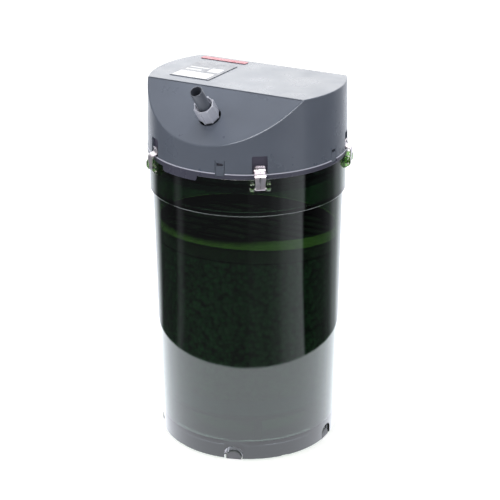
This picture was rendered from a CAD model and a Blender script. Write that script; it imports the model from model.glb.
import math

import bmesh
import bpy
from mathutils import Matrix, Vector, noise


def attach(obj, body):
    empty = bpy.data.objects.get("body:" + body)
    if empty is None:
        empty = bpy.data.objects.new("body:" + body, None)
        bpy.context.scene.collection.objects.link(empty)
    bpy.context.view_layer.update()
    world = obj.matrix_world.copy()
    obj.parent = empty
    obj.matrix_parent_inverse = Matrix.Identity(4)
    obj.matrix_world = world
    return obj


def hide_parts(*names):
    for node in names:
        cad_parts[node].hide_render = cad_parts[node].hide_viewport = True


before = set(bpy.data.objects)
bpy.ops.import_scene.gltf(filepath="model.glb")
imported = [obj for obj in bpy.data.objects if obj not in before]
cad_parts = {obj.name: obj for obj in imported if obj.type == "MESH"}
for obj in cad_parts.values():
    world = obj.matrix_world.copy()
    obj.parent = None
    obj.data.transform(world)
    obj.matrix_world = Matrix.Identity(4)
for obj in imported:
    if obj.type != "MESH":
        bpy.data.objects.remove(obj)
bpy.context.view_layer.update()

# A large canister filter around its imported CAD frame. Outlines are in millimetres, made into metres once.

# ---------------------------------------------------------------- driving dimensions, as in the CAD

MM = 0.001
SIDES = 240          # sides of the large rounds
SMALL_SIDES = 48     # sides of pipes and nuts
FIVEFOLD = [0, 72, 144, 216, 288]

TUB_R_LOW = 127.2
TUB_R_HIGH = 133.1
TUB_WALL = 4
SKIRT_Z = 1.5
STEP_Z = 373.5
COLLAR_R = 137.2
COLLAR_BORE_R = 132.2
COLLAR_TOP_Z = 424.9
FLOOR_Z = 24
FLOOR_THICK = 4
WELL_R = 30
WELL_Z = 0.5

CLIP_AZIMUTH = 18
PIN_AT_R = 142.5
PIN_Z = 414.2
PIN_R = 1.15
PIN_LENGTH = 28
LUG_SPAN = 27
LUG_THICK = 5.5
LUG_TIP_R = 145.9
STRAP_WIDTH = 14.5
STRAP_THICK = 1
STRAP_LINE = [(2.05, 0), (2.2, 6), (2.4, 12), (2.3, 15.6), (1.5, 18.2), (-0.4, 19.9), (-2.8, 20.7), (-5, 22),
              (-6.1, 24.2), (-6.1, 27), (-5.2, 30)]

FOOT_AZIMUTH = -70.6
FOOT_GAP = 0.3
FOOT_HALF_WIDTH = 11
FOOT_SIDE_H = 3
FOOT_H = 12.5
FOOT_R_IN = 107
FOOT_R_OUT = 125.5
NOTCH_HALF_WIDTH = 13
NOTCH_SPRING_Z = 10.5
NOTCH_TOP_Z = 21.5
SKIRT_STEP_AZIMUTH = -37

SEAM_Z = 432.5
SEAM_GAP = 0.3
RING_BOTTOM_Z = 425.2
HEAD_R = 139
RING_LEDGE = 0.8        # how far the ring stands out under the housing
HEAD_TOP_R = 135.9
HEAD_TOP_Z = 526
HEAD_WALL = 3
FRONT_EDGE_Y = -64.2
BACK_EDGE_Y = 70.1
SLOPE = math.radians(38.7)
POCKET_WIDTH = 21
POCKET_TOP_Z = 456.8
POCKET_R = 133.5
SNAP_AZIMUTH = -76
SNAP_WIDTH = 11.6
SNAP_WINDOW_Z = 442.5
SNAP_WINDOW_H = 4
TAB_FROM = -115.5
TAB_TO = -89.6
TAB_BOTTOM_Z = 418.5
TAB_CORNER = 4.0
PLATE_Z = 428.5
SPIGOT_R = 131.6
SPIGOT_BORE_R = 123.8
SPIGOT_Z = 404
GROOVE_R = 127.3
GROOVE_Z = 411.9
GROOVE_H = 5.5
WELL_TUBE_R = 19.3
WELL_BORE_R = 16.5
WELL_TOP_Z = 497
CHAMBER_R = 34
CHAMBER_WALL = 3.5
CHAMBER_Z = 398
RISER_Y = -75
RISER_BORE_R = 8
RISER_SEAT_R = 11.1
RISER_RING_R = 14.2
LABEL_X = (-99, -36)
LABEL_Y = (-43, 37)
STRIPE_X = (-106, -33)
STRIPE_Y = (52, 63)
PLATE_THICK = 0.5

OUTLET_Y = -101
OPENING_R = 15.5
OUTLET_TAIL_R = 8.6
OUTLET_TAIL_BORE_R = 7.3
OUTLET_TAIL_END = 54.6
OUTLET_FLANGE_R = 10.9
OUTLET_FLANGE = (14.2, 17.2)    # along the slope's normal
GLAND_X = 46
GLAND_Y = 98
GLAND_HOLE_R = 8.3
INLET_Z = 46
INLET_END_Y = 150
INLET_BORE_R = 11
INLET_TAIL_R = 12.8
INLET_TAIL_BORE_R = 10.3
INLET_BEND = 18
INLET_CORNER = 32
INLET_TAIL_END = -64
INLET_BARBS_AT = (-50, -60)
NUT_SHOULDER = 2.2
NUT_RIB_HALF = 1.2

LOWER_SCREEN_Z = 62
LOWER_SCREEN_R = 122.8
SCREEN_THICK = 4
COARSE_PAD_TOP_Z = 91
MEDIA_R_LOW = 123.6
MEDIA_R_HIGH = 126.2
UPPER_SCREEN_Z = 309    # its underside, on the axis
UPPER_SCREEN_R = 126.4
UPPER_SCREEN_THICK = 3
UPPER_RIM_H = 14
FLOSS_R = 125
STACK_GAP = 0.3
STACK_TILT = math.radians(-6.5)
FLOSS_THICK = 20


def tub_r(z):
    """The outer radius of the tapered tub at a height."""
    return TUB_R_LOW + (TUB_R_HIGH - TUB_R_LOW) * (z - SKIRT_Z) / (STEP_Z - SKIRT_Z)


# ---------------------------------------------------------------- mesh helpers

def rounded(outline, steps=4):
    """An outline of (x, y) or (x, y, radius) corners, with arcs at the corners that have a radius."""
    points = []
    for i, corner in enumerate(outline):
        here = Vector(corner[:2])
        if len(corner) < 3:
            points.append(tuple(here))
            continue
        to_last = Vector(outline[i - 1][:2]) - here
        to_next = Vector(outline[(i + 1) % len(outline)][:2]) - here
        half = to_last.angle(to_next) / 2
        cut = min(corner[2] / math.tan(half), 0.49 * to_last.length, 0.49 * to_next.length)
        radius = cut * math.tan(half)
        centre = here + (to_last.normalized() + to_next.normalized()).normalized() * radius / math.sin(half)
        first = here + to_last.normalized() * cut - centre
        last = here + to_next.normalized() * cut - centre
        turn = first.angle_signed(last)
        for k in range(steps + 1):
            arm = first.copy()
            arm.rotate(Matrix.Rotation(-turn * k / steps, 2))
            points.append(tuple(centre + arm))
    return points


def new_object(name, bm):
    """A mesh object in the scene, with its faces turned outwards. The bmesh is used up."""
    bmesh.ops.recalc_face_normals(bm, faces=bm.faces)
    mesh = bpy.data.meshes.new(name)
    bm.to_mesh(mesh)
    bm.free()
    obj = bpy.data.objects.new(name, mesh)
    bpy.context.scene.collection.objects.link(obj)
    return obj


def place(bm, matrix):
    """Moves a bmesh by a matrix."""
    bmesh.ops.transform(bm, matrix=matrix, verts=bm.verts)
    return bm


def turned(bm, azimuth):
    """Turns something built towards +X to its azimuth in degrees."""
    return place(bm, Matrix.Rotation(math.radians(azimuth), 4, "Z"))


def lathe(outline, sides=SIDES):
    """An outline of (radius, height) turned about Z. It is closed unless both its ends are on the axis."""
    bm = bmesh.new()
    rings = []
    for r, z in outline:
        count = 1 if r < 1e-6 else sides
        ring = []
        for k in range(count):
            angle = 2 * math.pi * k / sides
            ring.append(bm.verts.new((r * math.cos(angle), r * math.sin(angle), z)))
        rings.append(ring)
    open_ended = len(rings[0]) == 1 and len(rings[-1]) == 1
    pairs = list(zip(rings, rings[1:])) + ([] if open_ended else [(rings[-1], rings[0])])
    for low, high in pairs:
        for k in range(sides):
            n = (k + 1) % sides
            corners = [low[k % len(low)], low[n % len(low)], high[n % len(high)], high[k % len(high)]]
            unique = list(dict.fromkeys(corners))
            bm.faces.new(unique)
    return bm


def prism(outline, z0, z1):
    """A flat outline of (x, y) made thick along Z."""
    bm = bmesh.new()
    low = [bm.verts.new((x, y, z0)) for x, y in outline]
    high = [bm.verts.new((x, y, z1)) for x, y in outline]
    bm.faces.new(low)
    bm.faces.new(high)
    for i in range(len(outline)):
        n = (i + 1) % len(outline)
        bm.faces.new((low[i], low[n], high[n], high[i]))
    return bm


def slab(x0, x1, y0, y1, z0, z1):
    return prism([(x0, y0), (x1, y0), (x1, y1), (x0, y1)], z0, z1)


def rod(r, z0, z1, sides=SMALL_SIDES, phase=0.0):
    """A cylinder along Z. A phase keeps a cutter's edges off the edges of the round that it cuts."""
    angles = [2 * math.pi * (k + phase) / sides for k in range(sides)]
    return prism([(r * math.cos(a), r * math.sin(a)) for a in angles], z0, z1)


def side_view(bm):
    """Turns a prism drawn in X and Z (as x, y) so that its thickness runs along Y."""
    return place(bm, Matrix.Rotation(math.radians(90), 4, "X"))


def end_view(bm):
    """Turns a prism drawn in Y and Z (as x, y) so that its thickness runs along X."""
    return place(bm, Matrix(((0, 0, 1, 0), (1, 0, 0, 0), (0, 1, 0, 0), (0, 0, 0, 1))))


def soften(bm, width, steps=2, over=30):
    """Rounds the edges that turn by more than an angle in degrees."""
    bmesh.ops.recalc_face_normals(bm, faces=bm.faces)
    edges = [e for e in bm.edges if e.calc_face_angle(0) > math.radians(over)]
    settings = {"offset": width, "segments": steps, "profile": 0.5, "affect": "EDGES"}
    bmesh.ops.bevel(bm, geom=edges, clamp_overlap=True, **settings)
    return bm


def joined(parts):
    """Several closed bmeshes as the separate islands of one."""
    whole = bmesh.new()
    for part in parts:
        mesh = bpy.data.meshes.new("part")
        bmesh.ops.recalc_face_normals(part, faces=part.faces)
        part.to_mesh(mesh)
        part.free()
        whole.from_mesh(mesh)
        bpy.data.meshes.remove(mesh)
    return whole


def evaluated(obj):
    """Applies an object's modifiers to its own mesh."""
    graph = bpy.context.evaluated_depsgraph_get()
    mesh = bpy.data.meshes.new_from_object(obj.evaluated_get(graph))
    old = obj.data
    obj.modifiers.clear()
    obj.data = mesh
    bpy.data.meshes.remove(old)


def boolean(bm, tools, operation="DIFFERENCE"):
    """A bmesh with a bmesh of tools cut from it, or added, or kept in common. Both are used up."""
    target = new_object("target", bm)
    tool = new_object("tool", tools)
    step = target.modifiers.new("step", "BOOLEAN")
    step.operation = operation
    step.solver = "EXACT"
    step.object = tool
    evaluated(target)
    result = bmesh.new()
    result.from_mesh(target.data)
    for obj in (target, tool):
        mesh = obj.data
        bpy.data.objects.remove(obj)
        bpy.data.meshes.remove(mesh)
    return result


def piece(name, bm, body, look, nodes, smooth=32):
    """A finished piece: shaded, with its material, on its body, and standing for its CAD nodes."""
    place(bm, Matrix.Scale(MM, 4))
    obj = new_object(name, bm)
    for face in obj.data.polygons:
        face.use_smooth = True
    obj.data.set_sharp_from_angle(angle=math.radians(smooth))
    weighted = obj.modifiers.new("even_normals", "WEIGHTED_NORMAL")
    weighted.keep_sharp = True
    obj.data.materials.append(look)
    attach(obj, body)
    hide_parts(*nodes)
    return obj


# ---------------------------------------------------------------- materials

class Tree:
    """A short way to wire a material's nodes."""

    def __init__(self, name):
        self.material = bpy.data.materials.new(name)
        self.material.use_nodes = True
        self.tree = self.material.node_tree
        self.tree.nodes.clear()
        self.output = self.node("ShaderNodeOutputMaterial")
        self.place = self.node("ShaderNodeTexCoord").outputs["Object"]

    def node(self, kind, inputs=None, **settings):
        made = self.tree.nodes.new(kind)
        for key, value in settings.items():
            setattr(made, key, value)
        for key, value in (inputs or {}).items():
            self.feed(made.inputs[key], value)
        return made

    def feed(self, socket, value):
        if isinstance(value, bpy.types.NodeSocket):
            self.tree.links.new(value, socket)
        else:
            socket.default_value = value

    def noise(self, scale, detail=3.0, stretch=(1, 1, 1)):
        mapped = self.node("ShaderNodeMapping", {"Vector": self.place, "Scale": stretch})
        inputs = {"Vector": mapped.outputs[0], "Scale": scale, "Detail": detail}
        return self.node("ShaderNodeTexNoise", inputs).outputs["Fac"]

    def cells(self, scale, output="Color"):
        return self.node("ShaderNodeTexVoronoi", {"Vector": self.place, "Scale": scale}).outputs[output]

    def between(self, value, low, high, to_low=0.0, to_high=1.0):
        """A value mapped from one range to another and held inside it."""
        inputs = {"Value": value, "From Min": low, "From Max": high, "To Min": to_low, "To Max": to_high}
        return self.node("ShaderNodeMapRange", inputs).outputs[0]

    def maths(self, operation, a, b=0.0):
        return self.node("ShaderNodeMath", {0: a, 1: b}, operation=operation).outputs[0]

    def mix(self, share, a, b):
        made = self.node("ShaderNodeMix", data_type="RGBA")
        self.feed(made.inputs["Factor"], share)
        for name, value in (("A", a), ("B", b)):
            socket = [s for s in made.inputs if s.name == name and s.type == "RGBA"][0]
            self.feed(socket, value)
        return [s for s in made.outputs if s.type == "RGBA"][0]

    def bump(self, height, depth, normal=None):
        inputs = {"Height": height, "Distance": depth, "Strength": 1.0}
        if normal:
            inputs["Normal"] = normal
        return self.node("ShaderNodeBump", inputs).outputs[0]

    def edge_wear(self, reach):
        """1 on edges that stand out, and 0 elsewhere, from how a rounded normal differs from the true one."""
        soft = self.node("ShaderNodeBevel", {"Radius": reach}, samples=4).outputs[0]
        sharp = self.node("ShaderNodeNewGeometry").outputs["Normal"]
        dot = self.node("ShaderNodeVectorMath", {0: soft, 1: sharp}, operation="DOT_PRODUCT").outputs["Value"]
        return self.between(dot, 0.99, 0.80)

    def finish(self, shader):
        self.tree.links.new(shader, self.output.inputs["Surface"])
        return self.material


def grey(value, tint=(1, 1, 1)):
    return (value * tint[0], value * tint[1], value * tint[2], 1)


def scaled(colour, factor):
    return tuple(min(1.0, c * factor) for c in colour[:3]) + (1,)


def inside(t, values, low, high, edge=0.0004):
    """1 where a coordinate lies between two values, in metres."""
    rise = t.between(values, low - edge, low + edge)
    fall = t.between(values, high - edge, high + edge, 1.0, 0.0)
    return t.maths("MULTIPLY", rise, fall)


def in_band(t, r0, r1, z0, z1):
    """1 inside a ring round the object's axis, given by radius and height in millimetres."""
    split = t.node("ShaderNodeSeparateXYZ", {0: t.place})
    level = t.node("ShaderNodeVectorMath", {0: t.place, 1: (1, 1, 0)}, operation="MULTIPLY").outputs[0]
    radius = t.node("ShaderNodeVectorMath", {0: level}, operation="LENGTH").outputs["Value"]
    within = inside(t, radius, r0 * MM, r1 * MM)
    return t.maths("MULTIPLY", within, inside(t, split.outputs[2], z0 * MM, z1 * MM))


def moulded(name, colour, rough=0.35, grain=900, depth=0.00004, wear=0.25, coat=0.0, spread=0.12, ior=1.5,
            band=None):
    """Moulded plastic or rubber: cloudy colour, fine grain, smudged gloss and paler rubbed edges.

    A band is (r0, r1, z0, z1, colour): a ring round the axis that has its own colour.
    """
    t = Tree(name)
    clouds = t.noise(9, 4)
    specks = t.noise(2600, 2)
    shade = t.between(clouds, 0.3, 0.7, 0.0, 1.0)
    body = t.mix(shade, scaled(colour, 1 - spread), scaled(colour, 1 + spread))
    body = t.mix(t.between(specks, 0.62, 0.75, 0, 0.35), body, scaled(colour, 1.5))
    if band:
        body = t.mix(in_band(t, *band[:4]), body, t.mix(shade, scaled(band[4], 0.9), scaled(band[4], 1.1)))
    if wear:
        rubbed = t.maths("MULTIPLY", t.edge_wear(0.0012), t.between(t.noise(160, 4), 0.4, 0.65, 0.3, 1.0))
        body = t.mix(t.maths("MULTIPLY", rubbed, wear), body, scaled(colour, 2.6))
    smudge = t.between(t.noise(26, 5), 0.3, 0.7, rough * 0.82, rough * 1.22)
    scratches = t.between(t.noise(320, 3, (1, 1, 0.06)), 0.68, 0.8, 0.0, 0.12)
    gloss = t.maths("ADD", smudge, scratches)
    normal = t.bump(t.noise(grain, 3), depth)
    normal = t.bump(t.noise(22, 2), 0.0006, normal)
    shader = t.node("ShaderNodeBsdfPrincipled", {
        "Base Color": body, "Roughness": gloss, "Normal": normal, "IOR": ior,
        "Coat Weight": coat, "Coat Roughness": 0.12})
    return t.finish(shader.outputs[0])


def sheet_steel(name):
    """Bent spring steel: fine scratches along the strip, with a pinkish passivated tint."""
    t = Tree(name)
    clouds = t.between(t.noise(60, 3), 0.35, 0.65)
    tint = t.mix(clouds, grey(0.58, (1.0, 0.88, 0.93)), grey(0.68, (0.97, 0.93, 1.0)))
    tint = t.mix(t.between(t.noise(420, 4, (1, 1, 0.12)), 0.6, 0.75, 0, 0.5), tint, grey(0.4))
    rough = t.between(t.noise(380, 4, (1, 1, 0.1)), 0.3, 0.7, 0.2, 0.42)
    normal = t.bump(t.noise(700, 3, (1, 1, 0.08)), 0.00004)
    shader = t.node("ShaderNodeBsdfPrincipled", {
        "Base Color": tint, "Metallic": 0.92, "Roughness": rough, "Normal": normal})
    return t.finish(shader.outputs[0])


def see_through(name, pane, lamp_tint, lug_colour, skirt_colour):
    """Blow-moulded translucent plastic. Lamps and bounced light pass it as a tint, which lights its inside.

    The clip lugs are greener and the skirt is darker, with a pale face inside each foot arch.
    """
    t = Tree(name)
    flow = t.between(t.noise(14, 3, (1, 1, 0.12)), 0.3, 0.7)
    colour = t.mix(flow, scaled(pane, 0.86), scaled(pane, 1.12))
    colour = t.mix(in_band(t, 137.6, 150, 400, 430), colour, lug_colour)
    colour = t.mix(in_band(t, 90, 130, -1, 30), colour, skirt_colour)
    colour = t.mix(in_band(t, 120.5, 123.1, 4, 24.4), colour, grey(0.6, (1.25, 1.22, 1.4)))
    scuffs = t.between(t.noise(240, 4, (1, 1, 0.5)), 0.66, 0.78, 0.0, 0.07)
    rough = t.maths("ADD", t.between(t.noise(18, 4), 0.3, 0.7, 0.01, 0.035), scuffs)
    normal = t.bump(t.noise(24, 2, (1, 1, 0.16)), 0.00035)
    normal = t.bump(t.noise(300, 2), 0.000006, normal)
    wall = t.node("ShaderNodeBsdfPrincipled", {
        "Base Color": colour, "Roughness": rough, "Normal": normal, "IOR": 1.5, "Transmission Weight": 1.0,
        "Coat Weight": 0.6, "Coat Roughness": 0.02, "Coat IOR": 1.5})
    clear = t.node("ShaderNodeBsdfTransparent", {"Color": lamp_tint})
    path = t.node("ShaderNodeLightPath")
    lamp = t.maths("MAXIMUM", path.outputs["Is Shadow Ray"], path.outputs["Is Diffuse Ray"])
    both = t.node("ShaderNodeMixShader", {0: lamp, 1: wall.outputs[0], 2: clear.outputs[0]})
    return t.finish(both.outputs[0])


def foam(name, colour, pore, depth, strands=False):
    """Open foam, or with strands a matted fleece."""
    t = Tree(name)
    cells = t.cells(pore, "Distance")
    fine = t.noise(pore * 2.5, 4)
    if strands:
        cells = t.noise(pore, 6, (1, 1, 3))
    body = t.mix(t.between(cells, 0.1, 0.6), scaled(colour, 0.45), scaled(colour, 1.25))
    body = t.mix(t.between(t.noise(14, 4), 0.4, 0.7, 0, 0.45), body, grey(0.12, (1.0, 0.8, 0.5)))
    normal = t.bump(fine, depth * 0.4, t.bump(cells, depth))
    shader = t.node("ShaderNodeBsdfPrincipled", {
        "Base Color": body, "Roughness": t.between(fine, 0.3, 0.7, 0.8, 1.0), "Normal": normal,
        "Sheen Weight": 0.3, "Sheen Roughness": 0.5})
    return t.finish(shader.outputs[0])


def gravel(name):
    """Loose filter substrate: rounded grains of mixed browns, darkened by dirt."""
    t = Tree(name)
    grain = t.cells(150, "Color")
    depth = t.cells(150, "Distance")
    split = t.node("ShaderNodeSeparateColor", {0: grain}).outputs[0]
    body = t.mix(split, grey(0.17, (0.65, 1.15, 0.85)), grey(0.26, (0.75, 1.15, 0.9)))
    body = t.mix(t.between(depth, 0.4, 0.8), body, grey(0.06))
    normal = t.bump(t.noise(1500, 3), 0.00006, t.bump(depth, -0.0025))
    shader = t.node("ShaderNodeBsdfPrincipled", {
        "Base Color": body, "Roughness": t.between(t.noise(500, 2), 0.3, 0.7, 0.75, 0.98), "Normal": normal})
    return t.finish(shader.outputs[0])


def label_print(name, ground, ink, blocks):
    """A printed label with blank blocks, and no lettering."""
    t = Tree(name)
    split = t.node("ShaderNodeSeparateXYZ", {0: t.place})
    body = t.mix(t.between(t.noise(40, 3), 0.3, 0.7), scaled(ground, 0.93), scaled(ground, 1.05))
    for x0, x1, y0, y1 in blocks:
        across = inside(t, split.outputs[0], x0 * MM, x1 * MM)
        along = inside(t, split.outputs[1], y0 * MM, y1 * MM)
        body = t.mix(t.maths("MULTIPLY", across, along), body, ink)
    rough = t.between(t.noise(90, 4), 0.3, 0.7, 0.22, 0.4)
    shader = t.node("ShaderNodeBsdfPrincipled", {
        "Base Color": body, "Roughness": rough, "Normal": t.bump(t.noise(200, 2), 0.00003)})
    return t.finish(shader.outputs[0])


GREEN = see_through("green_plastic", (0.040, 0.085, 0.046, 1), (0.75, 0.84, 0.76, 1), (0.22, 0.38, 0.14, 1),
                    (0.004, 0.005, 0.005, 1))
HEAD_GREY = moulded("grey_plastic", (0.105, 0.122, 0.158, 1), rough=0.3, coat=0.15,
                    band=(POCKET_R - 3.5, POCKET_R + 1.2, SEAM_Z, POCKET_TOP_Z, (0.075, 0.07, 0.105, 1)))
BASE_GREY = moulded("base_plastic", (0.062, 0.063, 0.092, 1), rough=0.3,
                    band=(HEAD_R - 1.6, HEAD_R + 1, SEAM_Z - 1.0, SEAM_Z + 0.4, (0.55, 0.56, 0.66, 1)))
DARK = moulded("dark_plastic", (0.022, 0.024, 0.028, 1), rough=0.45)
NUT_GREY = moulded("nut_plastic", (0.47, 0.485, 0.56, 1), rough=0.3, spread=0.06)
TAIL_GREY = moulded("tail_plastic", (0.095, 0.105, 0.13, 1), rough=0.3, wear=0.5, spread=0.08)
STEEL = sheet_steel("steel")
CERAMIC = moulded("ceramic", (0.72, 0.71, 0.67, 1), rough=0.25, wear=0, spread=0.04)
FOOT_RUBBER = moulded("grey_rubber", (0.14, 0.142, 0.155, 1), rough=0.62, grain=1400, depth=0.00008, wear=0.1)
BLACK_RUBBER = moulded("black_rubber", (0.012, 0.012, 0.013, 1), rough=0.6, grain=1400, depth=0.00008,
                       wear=0.1)
POTTING = moulded("potting", (0.016, 0.016, 0.018, 1), rough=0.3, grain=300, wear=0)
MAGNET = moulded("magnet", (0.03, 0.029, 0.026, 1), rough=0.5, grain=1800, wear=0.2)
SCREEN_GREEN = moulded("screen_plastic", (0.80, 0.92, 0.30, 1), rough=0.5,
                       band=(-1, 124.9, 0, 400, (0.004, 0.005, 0.004, 1)))
COARSE = foam("coarse_foam", (0.05, 0.16, 0.28, 1), 420, 0.0016)
FLOSS = foam("floss", (0.11, 0.13, 0.11, 1), 700, 0.001, strands=True)
SUBSTRATE = gravel("substrate")
LABEL = label_print("label", (0.14, 0.15, 0.18, 1), (0.60, 0.61, 0.63, 1),
                    [(-96, -42, -41, -16), (-94, -70, -8, -3), (-94, -64, 4, 8), (-60, -42, -8, 10)])
STRIPE = label_print("stripe", (0.36, 0.04, 0.075, 1), (0.5, 0.2, 0.22, 1),
                     [(-104, -35, 53.2, 54.0), (-104, -35, 61.2, 62.0)])

# ---------------------------------------------------------------- canister

def tub():
    floor_top = FLOOR_Z + FLOOR_THICK
    inner = lambda z: tub_r(z) - TUB_WALL
    return lathe(rounded([
        (0, WELL_Z),
        (WELL_R, WELL_Z, 1.5),
        (WELL_R + 3, WELL_Z + 3, 2),
        (WELL_R + 5, FLOOR_Z, 3),
        (inner(FLOOR_Z) + 0.3, FLOOR_Z, 4),
        (inner(SKIRT_Z) + 0.3, SKIRT_Z, 1.2),
        (tub_r(SKIRT_Z), SKIRT_Z, 1.2),
        (tub_r(STEP_Z), STEP_Z - 1.5, 1.2),
        (COLLAR_R - 0.1, STEP_Z - 1.1, 2.6),
        (COLLAR_R, COLLAR_TOP_Z, 0.8),
        (COLLAR_BORE_R, COLLAR_TOP_Z, 0.8),
        (COLLAR_BORE_R, STEP_Z + 5, 2),
        (inner(STEP_Z), STEP_Z, 3),
        (inner(floor_top), floor_top, 6),
        (WELL_R + 9, floor_top, 2),
        (WELL_R + 6, WELL_Z + 4.5, 3),
        (0, WELL_Z + 4),
    ]))


def lug(side):
    outline = rounded([
        (COLLAR_BORE_R + 2.3, PIN_Z - 7.5),
        (COLLAR_R + 2, PIN_Z - 6, 1),
        (LUG_TIP_R - 1.4, PIN_Z - 2.8, 1.5),
        (LUG_TIP_R, PIN_Z - 0.3, 1.5),
        (LUG_TIP_R, PIN_Z + 6.5, 1.5),
        (LUG_TIP_R - 2.2, PIN_Z + 10, 1.5),
        (COLLAR_BORE_R + 2.3, PIN_Z + 10),
    ])
    middle = side * (LUG_SPAN - LUG_THICK) / 2
    return soften(side_view(prism(outline, -middle - LUG_THICK / 2, -middle + LUG_THICK / 2)), 0.6)


def cross_hole(r, x, z, reach):
    hole = place(rod(r, -reach, reach, 24), Matrix.Rotation(math.radians(90), 4, "X"))
    return place(hole, Matrix.Translation((x, 0, z)))


def arch(half, bottom, spring, top, steps=28):
    """An arch's outline: straight sides up to the spring, then half an ellipse."""
    points = [(-half, bottom), (half, bottom)]
    for k in range(steps + 1):
        angle = math.pi * k / steps
        points.append((half * math.cos(angle), spring + (top - spring) * math.sin(angle)))
    return points


def facing(bm, axis_y, z):
    """Turns a rod along Z to run along +Y from a point on the Y axis."""
    place(bm, Matrix.Rotation(math.radians(-90), 4, "X"))
    return place(bm, Matrix.Translation((0, axis_y, z)))


def spigot():
    """The inlet's threaded end, with a coarse round thread."""
    outline = [(0, 121)]
    pitch = 2.4
    y = 121.0
    while y < INLET_END_Y - 1:
        outline.append((15 if y < 138 or int(y / pitch * 2) % 2 else 14.1, y))
        y += pitch / 2
    outline += [(14.4, INLET_END_Y), (0, INLET_END_Y)]
    return facing(lathe(outline, SMALL_SIDES), 0, INLET_Z)


def canister():
    lugs = []
    lug_holes = []
    sockets = []
    foot_cuts = []
    notches = []
    for turn in FIVEFOLD:
        clip_at = CLIP_AZIMUTH + turn
        foot_at = FOOT_AZIMUTH + turn
        lugs += [turned(lug(-1), clip_at), turned(lug(1), clip_at)]
        for side in (-1, 1):
            reach = LUG_THICK / 2 + 0.5
            for r, z in ((PIN_R + 0.35, PIN_Z), (1.5, PIN_Z + 6.6)):
                hole = cross_hole(r, PIN_AT_R, z, reach)
                place(hole, Matrix.Translation((0, side * (LUG_SPAN - LUG_THICK) / 2, 0)))
                lug_holes.append(turned(hole, clip_at))
        sockets.append(turned(slab(FOOT_R_IN - 2.5, 122.4, -14, 14, 5, FLOOR_Z + 0.5), foot_at))
        foot_cut = arch(FOOT_HALF_WIDTH + FOOT_GAP, -1, FOOT_SIDE_H, FOOT_H + FOOT_GAP)
        foot_cuts.append(turned(end_view(prism(foot_cut, FOOT_R_IN - FOOT_GAP, 123)), foot_at))
        notch = arch(NOTCH_HALF_WIDTH, -1, NOTCH_SPRING_Z, NOTCH_TOP_Z)
        notches.append(turned(end_view(prism(notch, 122.3, 132)), foot_at))
        notches.append(turned(slab(120, 132, -5, 5, 0, SKIRT_Z + 1.4), SKIRT_STEP_AZIMUTH + turn))
    body = boolean(tub(), spigot(), "UNION")
    body = boolean(body, facing(rod(INLET_BORE_R, 105, INLET_END_Y + 5, phase=0.3), 0, INLET_Z))
    body = boolean(body, boolean(joined(lugs), joined(lug_holes)), "UNION")
    body = boolean(body, joined(sockets), "UNION")
    body = boolean(body, joined(foot_cuts))
    body = boolean(body, joined(notches))
    return piece("canister_shell", body, "filter", GREEN, ["canister"], 28)


def feet():
    for i, turn in enumerate(FIVEFOLD):
        block = end_view(prism(arch(FOOT_HALF_WIDTH, 0, FOOT_SIDE_H, FOOT_H), FOOT_R_IN, FOOT_R_OUT))
        foot = turned(soften(block, 1.1, 3, 40), FOOT_AZIMUTH + turn)
        node = f"rubber_foot_{i + 1}"
        piece(f"foot_{i + 1}", foot, "filter", FOOT_RUBBER, [node])


# ---------------------------------------------------------------- clips

def smooth_line(line, steps=4):
    """More points on a smooth curve through a line's own points."""
    points = []
    for i in range(len(line) - 1):
        p0, p1 = line[max(i - 1, 0)], line[i]
        p2, p3 = line[i + 1], line[min(i + 2, len(line) - 1)]
        for k in range(steps):
            t = k / steps
            points.append(tuple(
                0.5 * (2 * b + (c - a) * t + (2 * a - 5 * b + 4 * c - d) * t * t
                       + (3 * b - a - 3 * c + d) * t ** 3)
                for a, b, c, d in zip(p0, p1, p2, p3)))
    return points + [tuple(line[-1])]


def strap():
    """The strap in the clip's own frame: X outwards, Z up, the pin at the origin."""
    line = smooth_line(STRAP_LINE)
    inner, outer = [], []
    for i, (x, z) in enumerate(line):
        px, pz = line[max(i - 1, 0)]
        nx, nz = line[min(i + 1, len(line) - 1)]
        length = math.hypot(nx - px, nz - pz)
        step = Vector((-(nz - pz), nx - px)) / length * STRAP_THICK / 2
        inner.append((x + step.x, z + step.y))
        outer.append((x - step.x, z - step.y))
    half = STRAP_WIDTH / 2
    sheet = side_view(prism(inner + outer[::-1], -half, half))
    face = rounded([(-half + 0.8, -4), (half - 0.8, -4), (half - 0.8, 8, 3), (half, 12, 3), (half, 31, 4.5),
                    (-half, 31, 4.5), (-half, 12, 3), (-half + 0.8, 8, 3)], 6)
    sheet = boolean(sheet, end_view(prism(face, -20, 20)), "INTERSECT")
    barrel = place(rod(2.5, -half + 0.8, half - 0.8, 32), Matrix.Rotation(math.radians(90), 4, "X"))
    sheet = boolean(sheet, barrel, "UNION")
    return boolean(sheet, cross_hole(1.5, 0, 0, half + 1))


def pin():
    """A clip's pivot pin, with domed ends."""
    half = PIN_LENGTH / 2
    outline = rounded([(0, -half), (PIN_R, -half, 0.6), (PIN_R, half, 0.6), (0, half)])
    return place(lathe(outline, 24), Matrix.Rotation(math.radians(90), 4, "X"))


def clips():
    for i, turn in enumerate(FIVEFOLD):
        turn_to = Matrix.Rotation(math.radians(CLIP_AZIMUTH + turn), 4, "Z")
        at = turn_to @ Matrix.Translation((PIN_AT_R, 0, PIN_Z))
        n = i + 1
        piece(f"spring_strap_{n}", place(strap(), at), f"clip_{n}", STEEL, [f"clip_strap_{n}"])
        piece(f"pivot_pin_{n}", place(pin(), at), "filter", STEEL, [f"clip_pin_{n}"])


# ---------------------------------------------------------------- pump head

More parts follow.
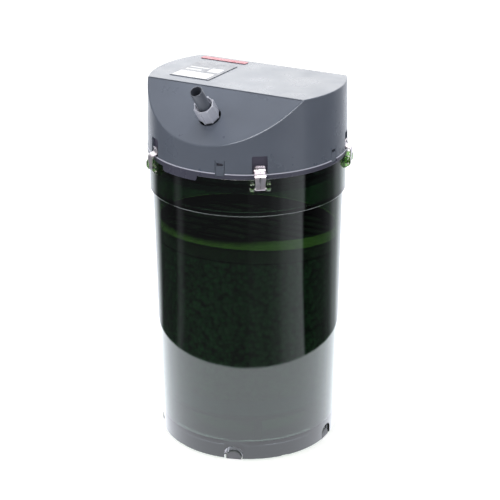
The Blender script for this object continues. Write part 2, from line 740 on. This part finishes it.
def above(bm, y, z, lean):
    """Cuts away what lies above a plane that leans from the top by an angle about X."""
    normal = Vector((0, -math.sin(lean), math.cos(lean)))
    geometry = list(bm.verts) + list(bm.edges) + list(bm.faces)
    plane = {"plane_co": (0, y, z), "plane_no": normal}
    made = bmesh.ops.bisect_plane(bm, geom=geometry, dist=1e-4, clear_outer=True, **plane)
    edges = [e for e in made["geom_cut"] if isinstance(e, bmesh.types.BMEdge)]
    bmesh.ops.contextual_create(bm, geom=edges)
    return bm


def head_form(inset):
    """The head's outer form with rounded edges, or with an inset its inner form."""
    bottom = SEAM_Z - 2 if inset else SEAM_Z + SEAM_GAP
    top = HEAD_TOP_Z - inset
    form = lathe([(0, bottom), (HEAD_R - RING_LEDGE - inset, bottom), (HEAD_TOP_R - inset, top), (0, top)])
    level = HEAD_TOP_Z - inset / math.cos(SLOPE)
    above(form, FRONT_EDGE_Y, level, SLOPE)
    above(form, BACK_EDGE_Y, level, -SLOPE)
    bmesh.ops.dissolve_limit(form, angle_limit=0.01, verts=form.verts, edges=form.edges)
    if inset:
        return form
    bends = [e for e in form.edges if e.calc_face_angle(0) > math.radians(20)]
    edges = [e for e in bends if e.verts[0].co.z > bottom + 1]
    settings = {"offset": 1.7, "segments": 4, "profile": 0.5, "affect": "EDGES"}
    bmesh.ops.bevel(form, geom=edges, clamp_overlap=False, **settings)
    return form


def on_front_slope(bm, x, y):
    z = HEAD_TOP_Z - math.tan(SLOPE) * (FRONT_EDGE_Y - y)
    return place(bm, Matrix.Translation((x, y, z)) @ Matrix.Rotation(SLOPE, 4, "X"))


def on_back_slope(bm, x, y):
    z = HEAD_TOP_Z - math.tan(SLOPE) * (y - BACK_EDGE_Y)
    return place(bm, Matrix.Translation((x, y, z)) @ Matrix.Rotation(-SLOPE, 4, "X"))


def head_housing():
    half = POCKET_WIDTH / 2
    finger_half = SNAP_WIDTH / 2
    finger_r = HEAD_R - RING_LEDGE - 0.05
    wall_top = POCKET_TOP_Z + 3
    backings, cuts, fingers, slits = [], [], [], []
    for turn in FIVEFOLD:
        clip_at = CLIP_AZIMUTH + turn
        snap_at = SNAP_AZIMUTH + turn
        backing = slab(POCKET_R - 3, HEAD_R - 3.2, -half - 3, half + 3, SEAM_Z + SEAM_GAP, wall_top)
        backings.append(turned(backing, clip_at))
        low, high = SEAM_Z - 10, POCKET_TOP_Z
        outline = rounded([(-half, low), (half, low), (half, high, 1.5), (-half, high, 1.5)])
        cuts.append(turned(end_view(prism(outline, POCKET_R, 145)), clip_at))
        finger = slab(136.6, finger_r, -finger_half, finger_half, SEAM_Z - 4, SEAM_Z + 1.5)
        fingers.append(turned(finger, snap_at))
        for side in (-1, 1):
            y = side * (finger_half + 0.4)
            slits.append(turned(slab(130, 142, y - 0.4, y + 0.4, SEAM_Z - 6, 450), snap_at))
        half_window = finger_half - 1.2
        window_top = SNAP_WINDOW_Z + SNAP_WINDOW_H
        window = slab(130, 142, -half_window, half_window, SNAP_WINDOW_Z, window_top)
        slits.append(turned(window, snap_at))
    shell = boolean(head_form(0), head_form(HEAD_WALL))
    shell = boolean(shell, joined(backings + fingers), "UNION")
    cuts.append(on_front_slope(rod(OPENING_R, -20, 20, 64), 0, OUTLET_Y))
    cuts.append(on_back_slope(rod(GLAND_HOLE_R, -20, 20), GLAND_X, GLAND_Y))
    shell = boolean(shell, joined(cuts + slits))
    return piece("head_shell", shell, "filter", HEAD_GREY, ["head_housing"], 28)


def ring_tab():
    """The tab that hangs from the ring over the collar, with rounded lower corners."""
    start, end = math.radians(TAB_FROM), math.radians(TAB_TO)
    steps = 40
    top = RING_BOTTOM_Z + 1.5
    low_line = []
    for k in range(steps + 1):
        angle = start + (end - start) * k / steps
        from_end = min(k, steps - k) / steps * (end - start) * HEAD_R
        lift = TAB_CORNER - math.sqrt(max(0.0, TAB_CORNER ** 2 - max(0.0, TAB_CORNER - from_end) ** 2))
        low_line.append((angle, TAB_BOTTOM_Z + lift))
    bm = bmesh.new()
    rows = []
    for angle, low in low_line:
        corners = ((COLLAR_R + 0.5, low), (HEAD_R - 0.05, low), (HEAD_R - 0.05, top), (COLLAR_R + 0.5, top))
        rows.append([bm.verts.new((r * math.cos(angle), r * math.sin(angle), z)) for r, z in corners])
    for a, b in zip(rows, rows[1:]):
        for k in range(4):
            n = (k + 1) % 4
            bm.faces.new((a[k], a[n], b[n], b[k]))
    bm.faces.new(rows[0])
    bm.faces.new(rows[-1])
    return bm


def head_base():
    """The ring, plate and spigot under the housing, with the rotor well, the volute and the riser's seat."""
    groove_top = GROOVE_Z + GROOVE_H
    wall_r = CHAMBER_R + CHAMBER_WALL
    outline = rounded([
        (0, WELL_TOP_Z - 4.5), (WELL_BORE_R, WELL_TOP_Z - 4.5), (WELL_BORE_R, PLATE_Z), (CHAMBER_R, PLATE_Z),
        (CHAMBER_R, CHAMBER_Z), (wall_r, CHAMBER_Z), (wall_r, PLATE_Z, 1), (SPIGOT_BORE_R, PLATE_Z),
        (SPIGOT_BORE_R, SPIGOT_Z, 0.6), (SPIGOT_R, SPIGOT_Z, 0.8), (SPIGOT_R, GROOVE_Z), (GROOVE_R, GROOVE_Z),
        (GROOVE_R, groove_top), (SPIGOT_R, groove_top), (SPIGOT_R, RING_BOTTOM_Z),
        (HEAD_R, RING_BOTTOM_Z, 0.7), (HEAD_R, SEAM_Z, 0.9), (WELL_TUBE_R, SEAM_Z),
        (WELL_TUBE_R, WELL_TOP_Z, 1.5), (0, WELL_TOP_Z),
    ])
    at_riser = Matrix.Translation((0, RISER_Y, 0))
    adds, cuts = [ring_tab()], []
    for turn in FIVEFOLD:
        snap_at = SNAP_AZIMUTH + turn
        half = SNAP_WIDTH / 2 + 0.8
        cuts.append(turned(slab(136.2, 142, -half, half, SEAM_Z - 4.4, SEAM_Z + 1), snap_at))
        adds.append(turned(slab(131.2, 134.2, -4.5, 4.5, SEAM_Z - 1, SNAP_WINDOW_Z + 4.5), snap_at))
        barb = slab(134, 137.3, -4.1, 4.1, SNAP_WINDOW_Z + 0.4, SNAP_WINDOW_Z + SNAP_WINDOW_H - 0.4)
        adds.append(turned(soften(barb, 0.5), snap_at))
    adds.append(slab(-13, 13, RISER_Y - 13, -36, 400, PLATE_Z + 1))
    adds.append(place(rod(RISER_RING_R, SEAM_Z - 1, SEAM_Z + 8), at_riser))
    base = boolean(lathe(outline), joined(adds), "UNION")
    cuts.append(slab(-10, 10, RISER_Y - 10, -20, 403, PLATE_Z - 2))
    cuts.append(place(rod(RISER_SEAT_R, SEAM_Z + 0.2, SEAM_Z + 12, phase=0.3), at_riser))
    base = boolean(base, joined(cuts))
    base = boolean(base, place(rod(RISER_BORE_R, 420, SEAM_Z + 2, phase=0.6), at_riser))
    return piece("head_ring", base, "filter", BASE_GREY, ["head_base"], 28)


def plate(name, across, along, look, node):
    """A thin plate on the flat top. Its piece and its slot have the same name."""
    (x0, x1), (y0, y1) = across, along
    outline = rounded([(x0, y0, 2), (x1, y0, 2), (x1, y1, 2), (x0, y1, 2)], 6)
    bottom = HEAD_TOP_Z + SEAM_GAP
    thin = soften(prism(outline, bottom, bottom + PLATE_THICK), 0.15, 1, 60)
    return piece(name, thin, "filter", look, [node])


def cord_gland():
    """The gland that the cord would leave through. The object's photograph shows no cord."""
    outline = rounded([(3.8, -9), (8, -9, 0.5), (8, 0.3), (12, 0.3, 0.4), (12, 2.2, 0.8), (10.8, 3.4, 0.8),
                       (7, 3.4, 0.8), (6, 8, 0.8), (3.8, 8, 0.5)])
    gland = on_back_slope(lathe(outline, 64), GLAND_X, GLAND_Y)
    return piece("gland", gland, "filter", BLACK_RUBBER, ["cord_gland"])


# ---------------------------------------------------------------- hose fittings

def octagon(r0, z0, r1, z1):
    """A tapered eight-sided body with a corner towards +X, its long edges a little rounded."""
    body = lathe([(0, z0), (r0, z0), (r1, z1), (0, z1)], 8)
    return soften(body, 0.7, 2, 35)


def union_nut(start, end, base_r, top_r, bore_r, shoulder, hole_r):
    """An eight-sided union nut along Z: corner ribs, a wide bore, a shoulder with a hole, an open recess."""
    nut = octagon(base_r, start, top_r, end)
    lean = math.atan((base_r - top_r) / (end - start))
    for i in range(8):
        rib = soften(slab(-1.2, 0.6, -NUT_RIB_HALF, NUT_RIB_HALF, 0.4, end - start - 0.4), 0.35)
        place(rib, Matrix.Translation((base_r, 0, start)) @ Matrix.Rotation(-lean, 4, "Y"))
        nut = boolean(nut, turned(rib, i * 45), "UNION")
    recess = shoulder + NUT_SHOULDER
    outline = rounded([(0, start - 1), (bore_r, start - 1), (bore_r, shoulder), (hole_r, shoulder + 0.01),
                       (hole_r, recess), (bore_r, recess), (bore_r, end - 1.2, 1),
                       (bore_r + 0.9, end + 1), (0, end + 1)])
    return boolean(nut, lathe(outline, 64))


def outlet_tail():
    """The straight hose tail along Z, with the flange that the nut holds."""
    low, high = OUTLET_FLANGE
    outline = rounded([(OUTLET_TAIL_BORE_R, low, 0.2), (OUTLET_FLANGE_R, low), (OUTLET_FLANGE_R, high, 0.4),
                       (OUTLET_TAIL_R, high), (OUTLET_TAIL_R, OUTLET_TAIL_END, 0.5),
                       (OUTLET_TAIL_BORE_R, OUTLET_TAIL_END, 0.5)])
    return lathe(outline, 64)


def outlet_fitting():
    nut = on_front_slope(union_nut(0.6, 25.6, 13.9, 13.9, 11.3, 17.6, 9.1), 0, OUTLET_Y)
    piece("union_nut", nut, "outlet_nut", NUT_GREY, ["outlet_union_nut"])
    tail = on_front_slope(outlet_tail(), 0, OUTLET_Y)
    piece("hose_tail", tail, "outlet_tail", TAIL_GREY, ["outlet_hose_tail"])


def elbow_line():
    """The elbow tail's middle points with its outer radius at each: a flange, a bend and two barbs."""
    radius, corner, end = INLET_TAIL_R, INLET_CORNER, INLET_TAIL_END
    flange = [(2.6, 14.9), (2.8, 15.1), (5.9, 15.1), (6.1, 14.9), (6.11, radius)]
    line = [((0, 0, z), r) for z, r in flange]
    start = Vector((0, 0, corner - INLET_BEND))
    middle = Vector((0, 0, corner))
    stop = Vector((0, -INLET_BEND, corner))
    for k in range(17):
        t = k / 16
        line.append((start * (1 - t) ** 2 + middle * 2 * t * (1 - t) + stop * t * t, radius))
    for barb in INLET_BARBS_AT:
        for ahead, rise in ((4, 0), (3.4, 0.7), (-2.6, 0)):
            line.append(((0, barb + ahead, corner), radius + rise))
    line += [((0, end + 0.6, corner), radius - 0.1), ((0, end, corner), radius - 0.7)]
    return [(Vector(point), r) for point, r in line]


def inlet_elbow():
    """The elbow tail in the fitting's frame: Z backwards, and the tail towards -Y."""
    line = elbow_line()
    middles = [point for point, r in line]
    bm = bmesh.new()
    rows = []
    for bore in (False, True):
        order = range(len(line) - 1, -1, -1) if bore else range(len(line))
        for i in order:
            ahead = (middles[min(i + 1, len(line) - 1)] - middles[max(i - 1, 0)]).normalized()
            up = ahead.cross(Vector((1, 0, 0)))
            row = []
            for k in range(SMALL_SIDES):
                angle = 2 * math.pi * k / SMALL_SIDES
                arm = Vector((math.cos(angle), 0, 0)) + up * math.sin(angle)
                row.append(bm.verts.new(middles[i] + arm * (INLET_TAIL_BORE_R if bore else line[i][1])))
            rows.append(row)
    for a, b in zip(rows, rows[1:] + rows[:1]):
        for k in range(SMALL_SIDES):
            n = (k + 1) % SMALL_SIDES
            bm.faces.new((a[k], a[n], b[n], b[k]))
    return bm


def inlet_fitting():
    at = Matrix.Translation((0, INLET_END_Y, INLET_Z)) @ Matrix.Rotation(math.radians(-90), 4, "X")
    piece("elbow_tail", place(inlet_elbow(), at), "inlet_tail", TAIL_GREY, ["inlet_elbow"])
    nut = union_nut(-17, 11, 20, 19, 15.6, 6.5, 13.4)
    piece("inlet_nut", place(nut, at), "inlet_nut", NUT_GREY, ["inlet_union_nut"])


# ---------------------------------------------------------------- filter stack

def lattice(r, z0, z1):
    pitch, rib = 30, 5
    slots = []
    for row in range(-3, 4):
        for column in (-1, 0, 1):
            x, y = column * 74, row * pitch
            half = (pitch - rib) / 2
            signs = ((-1, -1), (1, -1), (1, 1), (-1, 1))
            corners = [(x + 34 * across, y + half * along, 3) for across, along in signs]
            slots.append(prism(rounded(corners, 3), z0 - 1, z1 + 1))
    holes = boolean(joined(slots), rod(r - 7.4, z0 - 2, z1 + 2, SIDES), "INTERSECT")
    disc = lathe(rounded([(0, z0), (r, z0, 0.8), (r, z1, 0.8), (0, z1)], 3))
    return boolean(disc, holes)


def lower_screen():
    screen = lattice(LOWER_SCREEN_R, LOWER_SCREEN_Z, LOWER_SCREEN_Z + SCREEN_THICK)
    leg_z = (FLOOR_Z + FLOOR_THICK + STACK_GAP, LOWER_SCREEN_Z + 1)
    legs = [turned(slab(106, 120, -5, 5, *leg_z), turn - 54) for turn in FIVEFOLD]
    screen = boolean(screen, joined(legs), "UNION")
    return piece("bottom_grid", screen, "filter", SCREEN_GREEN, ["lower_screen"])


def tilted(bm):
    return place(bm, Matrix.Translation((0, 0, UPPER_SCREEN_Z)) @ Matrix.Rotation(STACK_TILT, 4, "X"))


def upper_screen():
    r = UPPER_SCREEN_R
    rim = lathe(rounded([(r - 3, 0.01), (r, 0.01, 0.8), (r, UPPER_RIM_H, 1), (r - 3, UPPER_RIM_H, 1)], 3))
    screen = boolean(lattice(r - 0.6, 0, UPPER_SCREEN_THICK), rim, "UNION")
    return piece("top_grid", tilted(screen), "filter", SCREEN_GREEN, ["upper_screen"])


def pad(r, z0, z1, sag):
    """A soft round pad whose rim bulges, is rounded, and is pulled in a little, unevenly."""
    rings, rows = 24, 16
    thick = z1 - z0
    crown = min(4.0, thick / 3)
    flat = [(r - crown) * k / rings for k in range(rings)]
    profile = [(x, z0) for x in flat]
    for k in range(rows + 1):
        angle = -math.pi / 2 + math.pi * k / rows
        height = math.copysign(abs(math.sin(angle)) ** 0.6, angle)
        profile.append((r - crown + crown * math.cos(angle), (z0 + z1) / 2 + thick / 2 * height))
    profile += [(x, z1) for x in flat[::-1]]
    bm = lathe(profile, 200)
    middle = (z0 + z1) / 2
    for v in bm.verts:
        out = Vector((v.co.x, v.co.y, 0))
        share = min(1.0, out.length / r)
        ripple = noise.noise(v.co * 0.035) * 0.6 + noise.noise(v.co * 0.11) * 0.4
        v.co -= out.normalized() * (0.9 + ripple) * sag * share ** 6
        v.co.z = middle + (v.co.z - middle) * (0.965 + 0.03 * noise.noise(v.co * 0.05))
    return bm


def pads():
    coarse = pad(LOWER_SCREEN_R, LOWER_SCREEN_Z + 4.4, COARSE_PAD_TOP_Z, 1.2)
    lower = piece("coarse_pad", coarse, "filter", COARSE, ["coarse_foam_pad"], 60)
    fine = tilted(pad(FLOSS_R, -FLOSS_THICK - STACK_GAP, -STACK_GAP, 1.6))
    upper = piece("fine_pad", fine, "filter", FLOSS, ["floss_pad"], 60)


def media():
    """The loose bed: a grainy surface that stays inside the CAD solid."""
    bottom = COARSE_PAD_TOP_Z + STACK_GAP
    cut = UPPER_SCREEN_Z - (FLOSS_THICK + 2 * STACK_GAP) / math.cos(STACK_TILT)
    rows, rings = 110, 50
    widening = 2.6
    profile = [(MEDIA_R_LOW * k / rings, 0.0) for k in range(rings)]
    profile += [(MEDIA_R_LOW + widening * k / rows, k / rows) for k in range(rows + 1)]
    profile += [(MEDIA_R_HIGH * k / rings, 1.0) for k in range(rings - 1, -1, -1)]
    bm = lathe(profile, 360)
    for v in bm.verts:
        share = v.co.z
        top = cut + math.tan(STACK_TILT) * v.co.y
        v.co.z = bottom + (top - bottom) * share
        grain = noise.voronoi(v.co * 0.15)[0][0]
        v.co -= Vector((v.co.x, v.co.y, 0)).normalized() * min(1.8, 2.2 * grain + 0.2)
        if share in (0.0, 1.0):
            v.co.z += (1 - 2 * share) * min(1.5, 2 * grain)
    return piece("media", bm, "filter", SUBSTRATE, ["media_bed"], 80)


# ---------------------------------------------------------------- carried-over CAD nodes

CARRIED = {
    "head_seal_ring": BLACK_RUBBER, "motor_block": POTTING, "rotor_magnet": MAGNET, "impeller": DARK,
    "pump_shaft": CERAMIC, "upper_bush": BLACK_RUBBER, "lower_bush": BLACK_RUBBER, "volute_cover": DARK,
    "cover_screw_1": STEEL, "cover_screw_2": STEEL, "cover_screw_3": STEEL, "cover_screw_4": STEEL,
    "outlet_duct": HEAD_GREY, "outlet_seal": BLACK_RUBBER, "inlet_seal": BLACK_RUBBER,
}


def dress_carried():
    for name, look in CARRIED.items():
        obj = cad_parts[name]
        obj.data.materials.clear()
        obj.data.materials.append(look)


# ---------------------------------------------------------------- stage

def ramp(t, value, stops):
    """A smooth scalar curve given as (position, value) stops."""
    made = t.node("ShaderNodeValToRGB", {0: value})
    made.color_ramp.interpolation = "EASE"
    elements = made.color_ramp.elements
    while len(elements) > 1:
        elements.remove(elements[0])
    elements[0].position = stops[0][0]
    elements[0].color = grey(stops[0][1])
    for position, level in stops[1:]:
        elements.new(position).color = grey(level)
    return made.outputs[0]


VIEW_AZIMUTH = 119.5      # the way the camera looks, seen from above
TABLE_R = 0.40            # what glossy surfaces see of the bright table
BRIGHT_TABLE = 2.2
BACKDROP = 1.6
FRONT_LIGHT = 13.0        # a window behind the camera, which only bevels and bent steel pick up


def bearing(t, x, y):
    """A direction's angle from the way the camera looks, as 0 to 1 all the way round."""
    angle = t.maths("ARCTAN2", y, x)
    turned_by = t.maths("SUBTRACT", angle, math.radians(VIEW_AZIMUTH - 180))
    return t.maths("FRACT", t.maths("DIVIDE", turned_by, 2 * math.pi))


def around(t, x, y):
    """How bright the room is in each direction, as glossy surfaces see it: 0.5 is behind the object."""
    stops = [(0.0, 0.085), (0.055, 0.085), (0.088, 0.14), (0.113, 0.29), (0.139, 0.40), (0.176, 0.52),
             (0.186, 0.012),
             (0.26, 0.03), (0.298, 0.07), (0.343, 0.30), (0.40, 0.7), (0.46, 1.0), (0.54, 1.0), (0.60, 0.7),
             (0.66, 0.03), (0.74, 0.03), (0.765, 0.15), (0.79, 0.05), (1.0, 0.06)]
    return ramp(t, bearing(t, x, y), stops)


def either(t, share, first, second):
    """A mix of two shaders."""
    return t.node("ShaderNodeMixShader", {0: share, 1: first.outputs[0], 2: second.outputs[0]})


def floor():
    """A plain pale floor to the eye. Glossy rays see a bright round table in a shaped room instead."""
    bm = bmesh.new()
    size = 9
    for x, y in ((-size, -size), (size, -size), (size, size), (-size, size)):
        bm.verts.new((x, y, 0))
    bm.faces.new(bm.verts)
    obj = new_object("floor", bm)
    t = Tree("floor")
    split = t.node("ShaderNodeSeparateXYZ", {0: t.place})
    length = t.node("ShaderNodeVectorMath", {0: t.place}, operation="LENGTH").outputs["Value"]
    table = t.between(length, TABLE_R - 0.004, TABLE_R + 0.004, 1.0, 0.0)
    beyond = t.maths("MULTIPLY", around(t, split.outputs[0], split.outputs[1]), BACKDROP)
    lit_table = t.maths("MULTIPLY", table, BRIGHT_TABLE)
    level = t.maths("ADD", lit_table, t.maths("MULTIPLY", t.maths("SUBTRACT", 1.0, table), beyond))
    mirrored = t.node("ShaderNodeEmission", {"Color": grey(1, (0.95, 0.985, 1.06)), "Strength": level})
    plain = t.node("ShaderNodeBsdfDiffuse", {"Color": grey(0.86)})
    lift = t.node("ShaderNodeEmission", {"Color": grey(1), "Strength": 0.45})
    seen = t.node("ShaderNodeAddShader", {0: plain.outputs[0], 1: lift.outputs[0]})
    path = t.node("ShaderNodeLightPath")
    direct = either(t, path.outputs["Is Camera Ray"], plain, seen)
    surface = either(t, path.outputs["Is Glossy Ray"], direct, mirrored)
    obj.data.materials.append(t.finish(surface.outputs[0]))


def room():
    """The light from all round: plain for the eye and for matt surfaces, shaped for glossy ones."""
    world = bpy.data.worlds.new("room")
    world.use_nodes = True
    bpy.context.scene.world = world
    t = Tree.__new__(Tree)      # the same wiring, on the world's own nodes
    t.tree = world.node_tree
    t.tree.nodes.clear()
    t.place = t.node("ShaderNodeTexCoord").outputs["Generated"]
    split = t.node("ShaderNodeSeparateXYZ", {0: t.place})
    sides = around(t, split.outputs[0], split.outputs[1])
    ceiling = t.between(split.outputs[2], 0.55, 0.8, 0.0, 1.0)
    front = ramp(t, bearing(t, split.outputs[0], split.outputs[1]),
                 [(0.0, 1.0), (0.07, 1.0), (0.1, 0.0), (0.9, 0.0), (0.93, 1.0), (1.0, 1.0)])
    lobe = t.maths("MULTIPLY", front, inside(t, split.outputs[2], 0.27, 0.62, 0.05))
    level = t.maths("ADD", t.maths("MULTIPLY", sides, 2.6), t.maths("MULTIPLY", ceiling, 0.6))
    level = t.maths("ADD", level, t.maths("MULTIPLY", lobe, FRONT_LIGHT))
    path = t.node("ShaderNodeLightPath")
    glossy = t.node("ShaderNodeBackground", {"Color": grey(1), "Strength": level})
    matt = t.node("ShaderNodeBackground", {"Color": grey(1), "Strength": 0.75})
    eye = t.node("ShaderNodeBackground", {"Color": grey(1), "Strength": 1.1})
    direct = either(t, path.outputs["Is Camera Ray"], matt, eye)
    both = either(t, path.outputs["Is Glossy Ray"], direct, glossy)
    out = t.node("ShaderNodeOutputWorld")
    t.tree.links.new(both.outputs[0], out.inputs["Surface"])


def softbox(name, position, aim, size, power):
    light = bpy.data.lights.new(name, "AREA")
    light.shape = "SQUARE"
    light.size = size
    light.energy = power
    obj = bpy.data.objects.new(name, light)
    obj.location = position
    obj.rotation_euler = (Vector(aim) - Vector(position)).to_track_quat("-Z", "Y").to_euler()
    bpy.context.scene.collection.objects.link(obj)
    obj.visible_glossy = False


def camera():
    """The photograph's viewing angle: a long lens, 29 degrees to the side and 22 degrees up."""
    data = bpy.data.cameras.new("camera")
    data.lens = 107.94
    data.sensor_width = 36
    data.shift_x = 0.00367
    data.shift_y = -0.002
    obj = bpy.data.objects.new("camera", data)
    right = Vector((0.8715, 0.4905, -0.0039))
    up = Vector((-0.1820, 0.3308, 0.9260))
    back = right.cross(up).normalized()
    up = back.cross(right.normalized())
    turn = Matrix((right.normalized(), up, back)).transposed().to_4x4()
    obj.matrix_world = Matrix.Translation((0.9748, -1.7255, 1.0798)) @ turn
    bpy.context.scene.collection.objects.link(obj)
    bpy.context.scene.camera = obj


camera()
room()
floor()
softbox("overhead", (-0.2, 0.3, 2.4), (0, 0, 0.3), 1.8, 30)
softbox("front_left", (-1.9, -1.9, 1.6), (0, 0, 0.4), 1.4, 12)
bpy.context.scene.view_settings.view_transform = "Standard"

canister()
feet()
clips()
head_housing()
head_base()
plate("label", LABEL_X, LABEL_Y, LABEL, "label_plate")
plate("stripe", STRIPE_X, STRIPE_Y, STRIPE, "top_stripe")
cord_gland()
outlet_fitting()
inlet_fitting()
lower_screen()
upper_screen()
pads()
media()
dress_carried()
